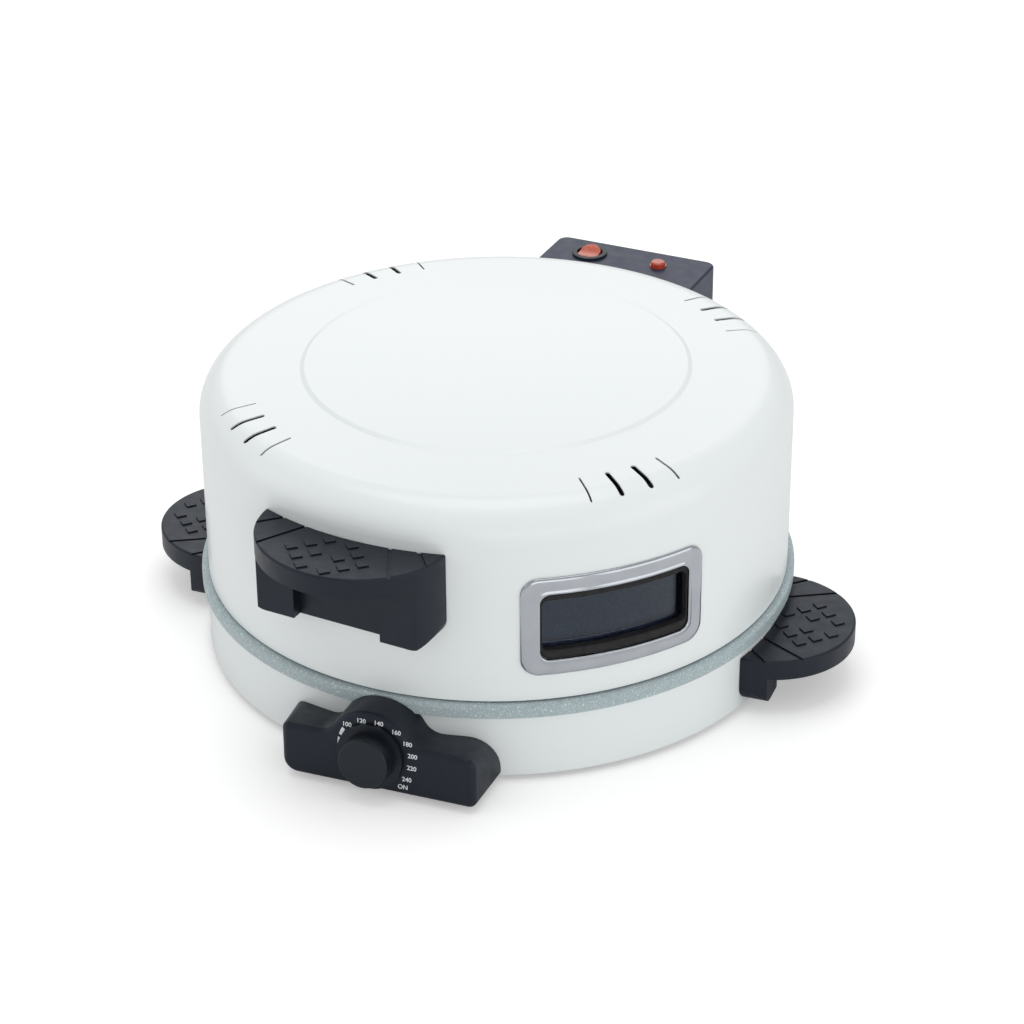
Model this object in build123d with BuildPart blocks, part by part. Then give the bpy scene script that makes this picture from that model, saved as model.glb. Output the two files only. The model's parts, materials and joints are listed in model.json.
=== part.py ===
"""Electric flatbread maker: a round drum with a coated baking plate, a domed lid with a window, and a rear hinge.

Millimetres. The drum's axis is Z, the table is z = 0, the hinge is at the back (+Y) and the front is -Y.
Angles are degrees from the front, positive towards +X.
"""

import math
import os

from build123d import *

os.makedirs("parts", exist_ok=True)

# Drum and lid
lid_radius = 210
lid_sheet = 1.0
lid_side_height = 114.9
shoulder_radius = 25.4
crown_height = 42
crown_step_radius = 136
crown_step = 1.6
crown_rise = 7
lid_gap = 1.2
base_radius = 211.5
base_height = 47.5
base_sheet = 1.0
foot_height = 4

# Baking plate
plate_radius = 215
plate_rim_height = 9.5
plate_seat_width = 11.5
plate_thickness = 5.5
plate_recess = 5

# Directions
base_turn = 4.2
lid_handle_turn = -3.1
window_turn = 47.35
vent_turn = 52.8

# Clearances
seat_gap = 0.3
snug_gap = 0.1
running_gap = 0.05

# Feet, bottom cover and screws
foot_radius = 11
foot_circle = 168
foot_count = 4
cover_sheet = 1.0
cover_recess = 1.0
cover_rim = 8
screw_radius = 2.0
screw_head_radius = 4.0
screw_head = 2.4

# Handles
lid_handle_half_width = 68.5
lid_handle_depth = 63
lid_handle_chord = 198
lid_handle_top = 174
lid_handle_height = 61.5
lid_handle_leg_reach = 28
lid_handle_web_reach = 20
lid_handle_pad_reach = 36.7
side_handle_half_width = 61.5
side_handle_depth = 63
side_handle_chord = 204
side_handle_top = 44
side_handle_height = 36
side_handle_leg_reach = 18
side_handle_web_reach = 12
side_handle_pad_reach = 31.3
grip_lip = 15
grip_screw_x = 47
grip_screw_drop = 20
grip_screw_length = 18
grip_leg_inside = 33
grip_groove_width = 2.6
grip_groove_depth = 1.0
grip_groove_centre = 49
grip_groove_angles = (28.5, 43)
grip_pad_side = 7.4
grip_pad_height = 0.9
grip_pad_pitch = 9.1

# Control panel and knob
panel_reach = 31.5
panel_lean = 6
panel_left = 64
panel_right = 77
panel_height = 37.5
panel_floor_gap = 0.5
panel_wall = 2.5
panel_hump_radius = 32
dial_height = 26
knob_radius = 18
knob_height = 12
knob_skirt_radius = 23.5
knob_skirt = 2.5
shaft_radius = 3
thermostat_bushing_radius = 5
thermostat_size = (34, 30, 15)

# Rear housing, switch and lamp
housing_half_width = 65
housing_back = 260.7
housing_top = 191
housing_bottom = 66
housing_wall = 2.5
housing_corner = 8
housing_screw_x = 52
housing_screw_z = 130
switch_place = (-31, 237)
switch_bezel_radius = 13.5
switch_bezel = 1.8
switch_body_radius = 11
switch_body_depth = 20
rocker_radius = 8.8
rocker_half_width = 7.8
rocker_tilt = 10
rocker_trunnion_radius = 1.5
lamp_place = (26, 237)
lamp_radius = 6.35
lamp_height = 4
lamp_body_radius = 4.7
lamp_body_depth = 16

# Hinge
hinge_y = 236
hinge_z = 54
hinge_pin_radius = 3
knuckle_radius = 6.5
lid_knuckle_x = 27
lid_knuckle_width = 6
base_knuckle_width = 5
hinge_sheet = 3

# Window
window_width = 130.8
window_height = 59
window_bottom = 90
window_corner = 13
window_opening_width = 105.5
window_opening_height = 33
window_opening_corner = 6
window_flange = 2.3
window_lip = 1.8
window_sleeve = 3.4
window_glass = 3

# Heating elements, liner and reflector
liner_radius = 197
liner_sheet = 0.8
liner_top = 188
liner_corner = 22
liner_lift = 4
element_radius = 3.25
element_half_gap = 16
element_bend = 10
upper_element_circle = 120
upper_element_z = 152
upper_element_tail = 226
lower_element_circle = 150
lower_element_tail = 184
clamp_width = 8
clamp_sheet = 1.5
reflector_sheet = 0.8
reflector_floor = 24
reflector_radius = 190
stud_radius = 3
stud_circle = 95

# Vents
vent_step = 6.4
vent_length = 25
vent_widths = (1.4, 3.6, 3.9, 1.8)
vent_reach = 186.5

# Cord gland
gland_turn = 152
gland_height = 22
gland_bore = 3.6
gland_radius = 7

# Worked-out places
base_bottom = foot_height
base_top = base_bottom + base_height
plate_top = base_top + plate_rim_height
plate_floor = plate_top - plate_recess
plate_under = plate_floor - plate_thickness
plate_seat = base_radius - plate_seat_width
lid_bottom = plate_top + lid_gap
lid_shoulder = lid_bottom + lid_side_height
crown_top = lid_shoulder + crown_height
cover_z = base_bottom + cover_recess
panel_front = base_radius + panel_reach
window_mid = window_bottom + window_height / 2
pin_half = lid_knuckle_x + lid_knuckle_width / 2 + base_knuckle_width + 2


def turned(angle, z=0):
    """Level plane at height z, turned so that its -Y looks out at angle."""
    a = math.radians(angle)
    return Plane(origin=(0, 0, z), x_dir=(math.cos(a), math.sin(a), 0), z_dir=(0, 0, 1))


def facing(angle, reach, z, lean=0):
    """Upright plane at reach from the axis, seen from outside, with its top leaning back by lean."""
    a = math.radians(angle)
    tip = math.radians(lean)
    out = (math.sin(a) * math.cos(tip), -math.cos(a) * math.cos(tip), math.sin(tip))
    return Plane(
        origin=(reach * math.sin(a), -reach * math.cos(a), z),
        x_dir=(math.cos(a), math.sin(a), 0),
        z_dir=out,
    )


def place(plane, x, y, depth=0):
    """The same plane moved along its own axes."""
    return Plane(origin=plane.from_local_coords((x, y, depth)), x_dir=plane.x_dir, z_dir=plane.z_dir)


def finish(part, label):
    part.label = label
    export_step(part, f"parts/{label}.step")


def screws_at(planes, length, label, head=screw_head_radius):
    """Screws with their heads behind each plane and their shanks pointing along its normal."""
    with BuildPart() as screws:
        for plane in planes:
            with Locations(plane):
                Cylinder(head, screw_head, align=(Align.CENTER, Align.CENTER, Align.MAX))
                Cylinder(screw_radius, length, align=(Align.CENTER, Align.CENTER, Align.MIN))
    finish(screws.part, label)


def wall_screws(angle, x, z, wall_inside):
    """Two planes just inside a drum wall, at x each side of angle."""
    reach = math.sqrt(wall_inside**2 - (x + screw_head_radius) ** 2) - seat_gap
    return [place(facing(angle, reach, z), side * x, 0) for side in (-1, 1)]


def make_grip(angle, seat, half_width, depth, chord, top, height, leg_reach, web_reach, pad_reach, screws, label):
    """Moulded handle: a half-oval lip over two legs, with a web set back between them for the fingers."""
    bottom = top - height
    far = 2 * depth
    with BuildPart() as grip:
        with BuildSketch(turned(angle, bottom)):
            with Locations((0, -chord)):
                Ellipse(half_width, depth)
            Circle(seat, mode=Mode.SUBTRACT)
        extrude(amount=height)
        with BuildSketch(turned(angle, bottom)):
            with Locations((0, -chord - leg_reach)):
                Rectangle(3 * half_width, far, align=(Align.CENTER, Align.MAX))
            with Locations((0, -chord - web_reach)):
                Rectangle(2 * grip_leg_inside, far, align=(Align.CENTER, Align.MAX))
        extrude(amount=height - grip_lip, mode=Mode.SUBTRACT)
        with BuildSketch(facing(angle, 0, bottom)):
            Rectangle(2 * half_width, height, align=(Align.CENTER, Align.MIN))
            fillet(vertices().group_by(Axis.Y)[0], min(13, height / 3))
        extrude(amount=chord + far, mode=Mode.INTERSECT)
        rim = grip.faces().sort_by(Axis.Z)[-1].edges().sort_by(SortBy.LENGTH)[-1]
        fillet(rim, 1.5)
        with BuildSketch(turned(angle, top - grip_groove_depth)):
            for side in (-1, 1):
                for flare in grip_groove_angles:
                    with Locations(Location((0, -chord + grip_groove_centre, 0), (0, 0, side * flare))):
                        Rectangle(grip_groove_width, 4 * depth, align=(Align.CENTER, Align.MAX))
        extrude(amount=2 * grip_groove_depth, mode=Mode.SUBTRACT)
        with BuildSketch(turned(angle, top)):
            for column in (1, 2, 3):
                for row in range(column - 3, 4 - column, 2):
                    for side in (-1, 1):
                        across = side * (column * grip_pad_pitch - 0.5)
                        with Locations((across, -chord - pad_reach - row * grip_pad_pitch)):
                            Rectangle(grip_pad_side, grip_pad_side, rotation=45)
        extrude(amount=grip_pad_height)
        with Locations(*screws):
            Cylinder(
                screw_radius + snug_gap,
                grip_screw_length + seat_gap,
                align=(Align.CENTER, Align.CENTER, Align.MIN),
                mode=Mode.SUBTRACT,
            )
    finish(grip.part, label)


def band(inner, outer, bottom, height):
    """A ring-shaped solid about the axis, as a tool for curved pieces."""
    with BuildPart() as ring:
        with BuildSketch(Plane.XY.offset(bottom)):
            Circle(outer)
            Circle(inner, mode=Mode.SUBTRACT)
        extrude(amount=height)
    return ring.part


def window_band(inner, outer):
    return band(inner, outer, window_bottom - 20, window_height + 40)


def dome(inset, bottom):
    """Half section of the lid's outside, moved in by inset."""
    side = lid_radius - inset
    edge = lid_shoulder + shoulder_radius - inset
    top = crown_top - inset
    step_z = top - crown_rise
    crown_edge = crown_step_radius - 1
    crown_radius = (crown_edge**2 + crown_rise**2) / (2 * crown_rise)
    crown_angle = math.degrees(math.asin(crown_edge / crown_radius))
    with BuildLine() as outline:
        Polyline((0, top), (0, bottom), (side, bottom), (side, edge + 1.5))
        ThreePointArc(
            (side, edge + 1.5),
            (side / 2 + crown_step_radius / 2, edge + 5),
            (crown_step_radius + 2, step_z - crown_step),
        )
        Line((crown_step_radius + 2, step_z - crown_step), (crown_edge, step_z))
        CenterArc((0, top - crown_radius), crown_radius, 90 - crown_angle, crown_angle)
    make_face(outline.edges())
    fillet(vertices().filter_by_position(Axis.Y, edge + 1, edge + 2), shoulder_radius - inset)


# Screw places and shared planes

base_inside = base_radius - base_sheet
lid_inside = lid_radius - lid_sheet
side_turns = {"side_handle_right": base_turn + 90, "side_handle_left": base_turn - 90}
side_screws = {
    label: wall_screws(turn, grip_screw_x, side_handle_top - grip_screw_drop, base_inside)
    for label, turn in side_turns.items()
}
all_side_screws = [plane for planes in side_screws.values() for plane in planes]
lid_screws = wall_screws(lid_handle_turn, grip_screw_x, lid_handle_top - grip_screw_drop, lid_inside)
lid_hinge_screws = wall_screws(180, 14, 78, lid_inside) + wall_screws(180, 14, 96, lid_inside)
base_hinge_screws = wall_screws(180, 16, 26, base_inside)
housing_screws = wall_screws(180, housing_screw_x, housing_screw_z, lid_inside)
panel_screws = [
    wall_screws(base_turn, 50, base_bottom + 18, base_inside)[0],
    wall_screws(base_turn, 62, base_bottom + 18, base_inside)[1],
]
panel_face = facing(base_turn, panel_front, base_bottom, panel_lean)
dial_plane = place(panel_face, 0, dial_height)
gland_plane = facing(gland_turn, base_radius + seat_gap, base_bottom + gland_height)
window_plane = facing(window_turn, liner_radius - 20, window_mid)

# Base

with BuildPart() as base_shell:
    with BuildSketch(Plane.XZ):
        with BuildLine():
            Polyline(
                (base_inside, base_bottom),
                (base_radius, base_bottom),
                (base_radius, base_top),
                (plate_seat, base_top),
                (plate_seat, base_top - base_sheet),
                (base_inside, base_top - base_sheet),
                close=True,
            )
        make_face()
    revolve(axis=Axis.Z)
    with Locations(*all_side_screws, *base_hinge_screws, *panel_screws):
        Cylinder(screw_radius + snug_gap, 30, mode=Mode.SUBTRACT)
    with Locations(gland_plane):
        Cylinder(gland_radius + snug_gap, 20, mode=Mode.SUBTRACT)
    with Locations(facing(base_turn, base_radius, base_bottom + 20)):
        Box(36, 24, 20, mode=Mode.SUBTRACT)
finish(base_shell.part, "base_shell")

with BuildPart() as baking_plate:
    with BuildSketch(Plane.XZ):
        with BuildLine():
            Polyline(
                (0, plate_under),
                (0, plate_floor),
                (plate_seat - 4, plate_floor),
                (plate_seat + 1, plate_top),
                (plate_radius, plate_top),
                (plate_radius, base_top),
                (plate_seat - seat_gap, base_top),
                (plate_seat - seat_gap, plate_under),
                close=True,
            )
        make_face()
        fillet(vertices().group_by(Axis.Y)[-1].sort_by(Axis.X)[-1], 2.5)
    revolve(axis=Axis.Z)
finish(baking_plate.part, "baking_plate")

cover_radius = base_inside - seat_gap
cover_screw_circle = cover_radius - 14
bracket_height = 18
bracket_width = 16
corner_turn = 45 + base_turn
with BuildPart() as bottom_cover:
    with BuildSketch(Plane.XY.offset(cover_z)):
        Circle(cover_radius)
    extrude(amount=cover_rim)
    with BuildSketch(Plane.XY.offset(cover_z + cover_sheet)):
        Circle(cover_radius - cover_sheet)
    extrude(amount=cover_rim, mode=Mode.SUBTRACT)
    with BuildSketch(Plane.XY.offset(cover_z)):
        with PolarLocations(110, 12):
            SlotOverall(40, 6, rotation=90)
        with PolarLocations(cover_screw_circle, foot_count, start_angle=corner_turn):
            Circle(screw_radius + snug_gap)
        with PolarLocations(foot_circle, foot_count, start_angle=corner_turn):
            Circle(screw_radius + snug_gap)
    extrude(amount=cover_sheet, mode=Mode.SUBTRACT)
finish(bottom_cover.part, "bottom_cover")

bracket_reach = cover_radius - cover_sheet - 2 * seat_gap
with BuildPart() as cover_brackets:
    with PolarLocations(bracket_reach, foot_count, start_angle=corner_turn):
        with Locations((0, 0, cover_z + cover_sheet)):
            Box(20, bracket_width, cover_sheet, align=(Align.MAX, Align.CENTER, Align.MIN))
            Box(cover_sheet, bracket_width, bracket_height, align=(Align.MAX, Align.CENTER, Align.MIN))
    with PolarLocations(cover_screw_circle, foot_count, start_angle=corner_turn):
        with Locations((0, 0, cover_z)):
            Cylinder(screw_radius + snug_gap, 6 * cover_sheet, mode=Mode.SUBTRACT)
finish(cover_brackets.part, "cover_brackets")

with BuildPart() as cover_screws:
    with PolarLocations(cover_screw_circle, foot_count, start_angle=corner_turn):
        with Locations((0, 0, cover_z)):
            Cylinder(screw_head_radius, screw_head, align=(Align.CENTER, Align.CENTER, Align.MAX))
            Cylinder(screw_radius, 8, align=(Align.CENTER, Align.CENTER, Align.MIN))
finish(cover_screws.part, "cover_screws")

foot_screw_seat = cover_z / 2
with BuildPart() as feet:
    with BuildSketch():
        with PolarLocations(foot_circle, foot_count, start_angle=corner_turn):
            Circle(foot_radius)
    extrude(amount=cover_z, taper=-6)
    with BuildSketch():
        with PolarLocations(foot_circle, foot_count, start_angle=corner_turn):
            Circle(screw_head_radius + seat_gap)
    extrude(amount=foot_screw_seat, mode=Mode.SUBTRACT)
    with BuildSketch():
        with PolarLocations(foot_circle, foot_count, start_angle=corner_turn):
            Circle(screw_radius + snug_gap)
    extrude(amount=cover_z, mode=Mode.SUBTRACT)
finish(feet.part, "feet")

with BuildPart() as foot_screws:
    with PolarLocations(foot_circle, foot_count, start_angle=corner_turn):
        with Locations((0, 0, foot_screw_seat)):
            Cylinder(screw_head_radius, 1.5, align=(Align.CENTER, Align.CENTER, Align.MAX))
            Cylinder(screw_radius, foot_screw_seat + 6, align=(Align.CENTER, Align.CENTER, Align.MIN))
        with Locations((0, 0, cover_z + cover_sheet)):
            Cylinder(screw_head_radius, 3, align=(Align.CENTER, Align.CENTER, Align.MIN))
finish(foot_screws.part, "foot_screws")

with BuildPart() as lower_reflector:
    with BuildSketch(Plane.XZ):
        with BuildLine():
            Polyline(
                (0, reflector_floor),
                (reflector_radius, reflector_floor),
                (plate_seat - 3, plate_under - reflector_sheet),
                (base_inside - seat_gap, plate_under - reflector_sheet),
                (base_inside - seat_gap, plate_under),
                (plate_seat - 4, plate_under),
                (reflector_radius - 1, reflector_floor + reflector_sheet),
                (0, reflector_floor + reflector_sheet),
                close=True,
            )
        make_face()
    revolve(axis=Axis.Z)
    with PolarLocations(stud_circle, 3, start_angle=30):
        Cylinder(stud_radius + snug_gap, 4 * reflector_floor, mode=Mode.SUBTRACT)
finish(lower_reflector.part, "lower_reflector")

with BuildPart() as plate_studs:
    with PolarLocations(stud_circle, 3, start_angle=30):
        with Locations((0, 0, reflector_floor - 6)):
            Cylinder(stud_radius, plate_under - reflector_floor + 6, align=(Align.CENTER, Align.CENTER, Align.MIN))
        with Locations((0, 0, reflector_floor)):
            Cylinder(2 * stud_radius, 5, align=(Align.CENTER, Align.CENTER, Align.MAX))
finish(plate_studs.part, "plate_studs")


def make_element(plane, circle, tail, label):
    """Sheathed heating element: an open ring whose two ends turn out side by side along the plane's -Y."""
    bend_y = math.sqrt((circle + element_bend) ** 2 - (element_half_gap + element_bend) ** 2)
    turn = math.degrees(math.atan2(element_half_gap + element_bend, bend_y))
    with BuildPart() as element:
        with BuildLine(plane) as path:
            Line((element_half_gap, -tail), (element_half_gap, -bend_y))
            CenterArc((element_half_gap + element_bend, -bend_y), element_bend, 180, turn - 90)
            CenterArc((0, 0), circle, turn - 90, 360 - 2 * turn)
            CenterArc((-element_half_gap - element_bend, -bend_y), element_bend, 90 - turn, turn - 90)
            Line((-element_half_gap, -bend_y), (-element_half_gap, -tail))
        with BuildSketch(Plane(origin=path.line @ 0, z_dir=path.line % 0)):
            Circle(element_radius)
        sweep()
    finish(element.part, label)


def make_clamps(circle, start_angle, z, top, label):
    """Bars under a heating element, each hung by two posts from the flat face at height top."""
    bar_top = z - element_radius - snug_gap
    with BuildPart() as clamps:
        with PolarLocations(circle, 3, start_angle=start_angle):
            with Locations((0, 0, bar_top)):
                Box(24, clamp_width, clamp_sheet, align=(Align.CENTER, Align.CENTER, Align.MAX))
            with Locations((-9, 0, bar_top), (9, 0, bar_top)):
                Cylinder(2, top - bar_top, align=(Align.CENTER, Align.CENTER, Align.MIN))
    finish(clamps.part, label)


lower_element_z = plate_under - element_radius - snug_gap
make_element(turned(base_turn, lower_element_z), lower_element_circle, lower_element_tail, "lower_element")
make_clamps(lower_element_circle, 90, lower_element_z, plate_under, "lower_element_clamps")

with BuildPart() as thermal_cutout:
    with Locations((0, 0, plate_under)):
        Cylinder(8, 8, align=(Align.CENTER, Align.CENTER, Align.MAX))
        Box(30, 8, clamp_sheet, align=(Align.CENTER, Align.CENTER, Align.MAX))
finish(thermal_cutout.part, "thermal_cutout")

with BuildPart() as terminal_block:
    with Locations(place(turned(gland_turn, cover_z + cover_sheet), 0, -168)):
        Box(40, 20, 14, align=(Align.CENTER, Align.CENTER, Align.MIN))
        with GridLocations(12, 10, 3, 2):
            with Locations((0, 0, 14)):
                Cylinder(2.5, 4, align=(Align.CENTER, Align.CENTER, Align.MAX), mode=Mode.SUBTRACT)
finish(terminal_block.part, "terminal_block")

with BuildPart() as cord_gland:
    with Locations(gland_plane):
        Cylinder(gland_radius + 2.5, 3, align=(Align.CENTER, Align.CENTER, Align.MIN))
        Cylinder(gland_radius, 9, align=(Align.CENTER, Align.CENTER, Align.MAX))
        Cylinder(gland_bore, 40, mode=Mode.SUBTRACT)
finish(cord_gland.part, "cord_gland")

for label, turn in side_turns.items():
    make_grip(
        turn,
        base_radius + seat_gap,
        side_handle_half_width,
        side_handle_depth,
        side_handle_chord,
        side_handle_top,
        side_handle_height,
        side_handle_leg_reach,
        side_handle_web_reach,
        side_handle_pad_reach,
        side_screws[label],
        label,
    )
screws_at(all_side_screws, grip_screw_length, "side_handle_screws")

# Control panel, thermostat and knob


def panel_outline(inset):
    """Front view of the panel: a low bar with a round hump about the dial."""
    left = -panel_left + inset
    right = panel_right - inset
    floor = panel_floor_gap + inset
    top = panel_height - inset
    with Locations((left, floor)):
        Rectangle(right - left, top - floor, align=(Align.MIN, Align.MIN))
    with Locations((0, dial_height)):
        Circle(panel_hump_radius - inset)
    with Locations((0, floor)):
        Rectangle(3 * panel_right, 2 * dial_height, align=(Align.CENTER, Align.MAX), mode=Mode.SUBTRACT)
    shoulders = vertices().filter_by_position(Axis.Y, top - 0.1, top + 0.1).sort_by(Axis.X)
    fillet(shoulders[1:3], 14 + inset)
    corners = vertices().filter_by_position(Axis.Y, top - 0.1, top + 0.1).sort_by(Axis.X)
    fillet([corners[0], corners[-1]], 8 - inset)
    corners = vertices().group_by(Axis.Y)[0].sort_by(Axis.X)
    fillet([corners[0], corners[-1]], 8 - inset)


with BuildPart() as panel_hollow:
    with BuildSketch(facing(base_turn, panel_front + 10, base_bottom)):
        panel_outline(panel_wall)
    extrude(amount=-panel_reach - 60)
    split(bisect_by=place(panel_face, 0, 0, -panel_wall), keep=Keep.BOTTOM)
    with Locations(*panel_screws):
        Cylinder(4.5, 4 * panel_reach, mode=Mode.SUBTRACT)

with BuildPart() as control_panel:
    with BuildSketch(facing(base_turn, panel_front + 10, base_bottom)):
        panel_outline(0)
    extrude(amount=-panel_reach - 60)
    split(bisect_by=panel_face, keep=Keep.BOTTOM)
    front = control_panel.faces().filter_by(lambda f: f.normal_at().dot(panel_face.z_dir) > 0.999)
    fillet(front.edges(), 2.5)
    add(panel_hollow.part, mode=Mode.SUBTRACT)
    with BuildSketch(Plane.XY.offset(-base_bottom)):
        Circle(base_radius + seat_gap)
    extrude(amount=base_top + base_bottom, mode=Mode.SUBTRACT)
    with BuildSketch(Plane.XY.offset(base_top - seat_gap)):
        Circle(plate_radius + seat_gap)
    extrude(amount=2 * dial_height, mode=Mode.SUBTRACT)
    with Locations(*panel_screws):
        Cylinder(
            screw_radius + snug_gap,
            grip_screw_length + seat_gap,
            align=(Align.CENTER, Align.CENTER, Align.MIN),
            mode=Mode.SUBTRACT,
        )
    with Locations(dial_plane):
        Cylinder(thermostat_bushing_radius + snug_gap, 12, mode=Mode.SUBTRACT)
finish(control_panel.part, "control_panel")
screws_at(panel_screws, grip_screw_length, "panel_screws")

thermostat_front = place(dial_plane, 0, 0, -panel_wall - snug_gap)
bushing_length = panel_wall + 2.6
shaft_seat = 9
with BuildPart() as thermostat_body:
    with Locations(thermostat_front):
        Box(*thermostat_size, align=(Align.CENTER, Align.CENTER, Align.MAX))
        Cylinder(thermostat_bushing_radius, bushing_length, align=(Align.CENTER, Align.CENTER, Align.MIN))
    with Locations(place(thermostat_front, 0, 0, -shaft_seat)):
        Cylinder(
            shaft_radius + running_gap, 30, align=(Align.CENTER, Align.CENTER, Align.MIN), mode=Mode.SUBTRACT
        )
finish(thermostat_body.part, "thermostat_body")

with BuildPart() as thermostat_nut:
    with BuildSketch(dial_plane):
        RegularPolygon(8, 6)
        Circle(thermostat_bushing_radius + snug_gap, mode=Mode.SUBTRACT)
    extrude(amount=2)
finish(thermostat_nut.part, "thermostat_nut")

knob_back = 0.8
with BuildPart() as thermostat_shaft:
    with Locations(place(thermostat_front, 0, 0, seat_gap - shaft_seat)):
        Cylinder(shaft_radius, shaft_seat + panel_wall + 10, align=(Align.CENTER, Align.CENTER, Align.MIN))
finish(thermostat_shaft.part, "thermostat_shaft")

with BuildPart() as knob:
    with BuildSketch(place(dial_plane, 0, 0, knob_back)):
        Circle(knob_skirt_radius)
    extrude(amount=knob_skirt)
    with BuildSketch(place(dial_plane, 0, 0, knob_back + knob_skirt)):
        Circle(knob_radius)
    extrude(amount=knob_height, taper=1.5)
    rim = knob.edges().filter_by(GeomType.CIRCLE).sort_by(lambda e: e.center().dot(dial_plane.z_dir))[-1]
    fillet(rim, 1.2)
    with BuildSketch(place(dial_plane, 0, 0, knob_back)):
        Circle(10)
    extrude(amount=3, mode=Mode.SUBTRACT)
    with Locations(place(thermostat_front, 0, 0, seat_gap)):
        Cylinder(
            shaft_radius + running_gap,
            panel_wall + 10 + snug_gap,
            align=(Align.CENTER, Align.CENTER, Align.MIN),
            mode=Mode.SUBTRACT,
        )
finish(knob.part, "knob")

# Hinge

lid_knuckle_inner = lid_knuckle_x - lid_knuckle_width / 2
base_knuckle_inner = lid_knuckle_x + lid_knuckle_width / 2 + 1
pin_half = base_knuckle_inner + base_knuckle_width + 2


def knuckle_arms(outline, inner, width, wall):
    """A mirrored pair of hinge arms with their knuckles, cut clear of the drum wall and bored for the pin."""
    for side in (-1, 1):
        with BuildSketch(Plane.YZ.offset(side * inner)) as arm:
            with BuildLine():
                Polyline(*outline, close=True)
            make_face()
            with Locations((hinge_y, hinge_z)):
                Circle(knuckle_radius)
        extrude(arm.sketch, amount=side * width)
    with Locations((0, hinge_y, hinge_z)):
        Cylinder(hinge_pin_radius + running_gap, 4 * pin_half, rotation=(0, 90, 0), mode=Mode.SUBTRACT)
    Cylinder(wall + seat_gap, 4 * hinge_z, mode=Mode.SUBTRACT)


with BuildPart() as lid_hinge_bracket:
    with Locations((0, lid_radius + hinge_sheet, 68)):
        Box(2 * lid_knuckle_x + lid_knuckle_width, 12, 38, align=(Align.CENTER, Align.MAX, Align.MIN))
    lid_arm = [
        (lid_radius - 6, 98),
        (lid_radius + hinge_sheet + 2, 98),
        (hinge_y - 11, 80),
        (hinge_y - 10, 69),
        (hinge_y + 5, hinge_z + 5),
        (hinge_y - 4, hinge_z - 5),
        (lid_radius + 8, 63.5),
        (lid_radius + 2, 68),
        (lid_radius - 6, 70),
    ]
    knuckle_arms(lid_arm, lid_knuckle_inner, lid_knuckle_width, lid_radius)
    with Locations(*lid_hinge_screws):
        Cylinder(screw_radius + snug_gap, 30, mode=Mode.SUBTRACT)
finish(lid_hinge_bracket.part, "lid_hinge_bracket")

with BuildPart() as base_hinge_bracket:
    with Locations((0, base_radius + hinge_sheet, base_bottom + 8)):
        Box(2 * base_knuckle_inner + 2 * base_knuckle_width, 12, 34, align=(Align.CENTER, Align.MAX, Align.MIN))
    base_arm = [
        (base_radius - 6, base_bottom + 40),
        (base_radius - 6, base_bottom + 12),
        (base_radius + 8, base_bottom + 12),
        (hinge_y + 6, hinge_z - 4),
        (hinge_y - 5, hinge_z + 1),
        (base_radius + 6, base_bottom + 42),
    ]
    knuckle_arms(base_arm, base_knuckle_inner, base_knuckle_width, base_radius)
    with Locations(*base_hinge_screws):
        Cylinder(screw_radius + snug_gap, 30, mode=Mode.SUBTRACT)
finish(base_hinge_bracket.part, "base_hinge_bracket")
screws_at(lid_hinge_screws, 7, "lid_hinge_screws")
screws_at(base_hinge_screws, 7, "base_hinge_screws")

with BuildPart() as hinge_pin:
    with Locations((-pin_half, hinge_y, hinge_z)):
        Cylinder(
            hinge_pin_radius, 2 * pin_half, rotation=(0, 90, 0), align=(Align.CENTER, Align.CENTER, Align.MIN)
        )
        Cylinder(
            1.6 * hinge_pin_radius, 1.5, rotation=(0, 90, 0), align=(Align.CENTER, Align.CENTER, Align.MIN)
        )
finish(hinge_pin.part, "hinge_pin")

# Lid


def window_cut(width, height, corner, depth, mode=Mode.SUBTRACT):
    """A rounded rectangle at the window, pushed outwards through the wall."""
    with BuildSketch(window_plane) as opening:
        RectangleRounded(width, height, corner)
    extrude(opening.sketch, amount=depth, mode=mode)


tail_places = [(side * element_half_gap, lid_inside, upper_element_z) for side in (-1, 1)]
sleeve_width = window_opening_width + 2 * window_sleeve
sleeve_height = window_opening_height + 2 * window_sleeve
sleeve_corner = window_opening_corner + window_sleeve
with BuildPart() as lid_shell:
    with BuildSketch(Plane.XZ):
        dome(0, lid_bottom)
    revolve(axis=Axis.Z)
    with BuildSketch(Plane.XZ):
        dome(lid_sheet, 0)
    revolve(axis=Axis.Z, mode=Mode.SUBTRACT)
    window_cut(sleeve_width + 2 * seat_gap, sleeve_height + 2 * seat_gap, sleeve_corner + seat_gap, 60)
    with BuildSketch(Plane.XY.offset(crown_top)):
        for quarter in range(4):
            for place_in_group, width in enumerate(vent_widths):
                turn = vent_turn + 90 * quarter + (place_in_group - 1.5) * vent_step
                with PolarLocations(vent_reach, 1, start_angle=turn - 90):
                    SlotOverall(vent_length, width)
    extrude(amount=lid_shoulder - crown_top, mode=Mode.SUBTRACT)
    with Locations(*lid_screws, *lid_hinge_screws, *housing_screws):
        Cylinder(screw_radius + snug_gap, 30, mode=Mode.SUBTRACT)
    with Locations(*tail_places):
        Cylinder(element_radius + 3, 20, rotation=(90, 0, 0), mode=Mode.SUBTRACT)
finish(lid_shell.part, "lid_shell")

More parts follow.
